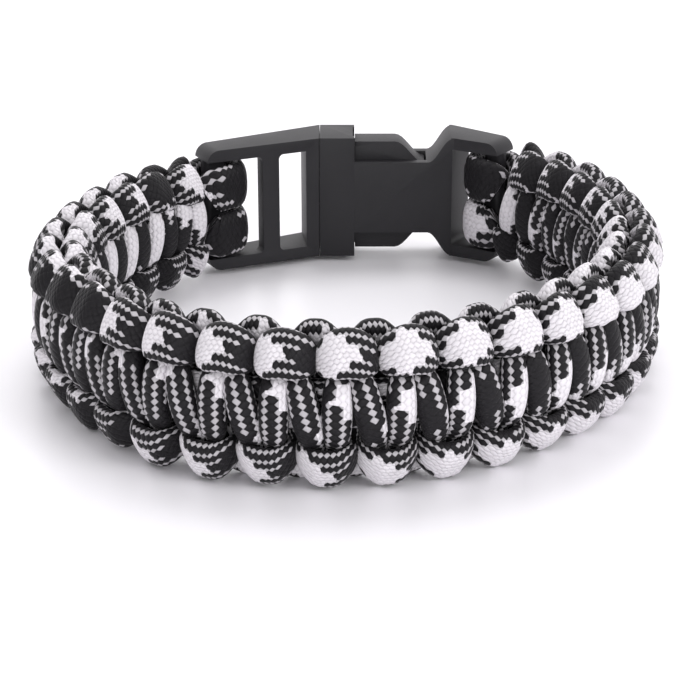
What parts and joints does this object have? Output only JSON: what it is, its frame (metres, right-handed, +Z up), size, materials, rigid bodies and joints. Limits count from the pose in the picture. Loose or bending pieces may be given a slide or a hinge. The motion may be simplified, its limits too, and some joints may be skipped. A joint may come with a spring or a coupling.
{
  "type": "paracord bracelet",
  "caption": "Woven cord bracelet in a closed ring: a cobra knot band of flattened cord over a core, fastened by a contoured side release buckle.",
  "frame": {"origin": "middle of the ring's box, on the surface that the lower edge of the band rests on", "axes": "+Z up along the ring's own axis, +Y towards the buckle, +X to the socket's side"},
  "size_m": [0.089, 0.0957, 0.0216],
  "materials": {
    "buckle": "black moulded plastic with a fine matte grain",
    "core_cord": "braided nylon cord, black with white",
    "outer_cord": "braided nylon cord, black and white",
    "inner_cord": "braided nylon cord, black and white"
  },
  "bodies": {
    "root": {"buckle_socket": "buckle", "buckle_plug": "buckle", "core_cord": "core_cord", "outer_cord": "outer_cord", "inner_cord": "inner_cord"}
  },
  "joints": []
}
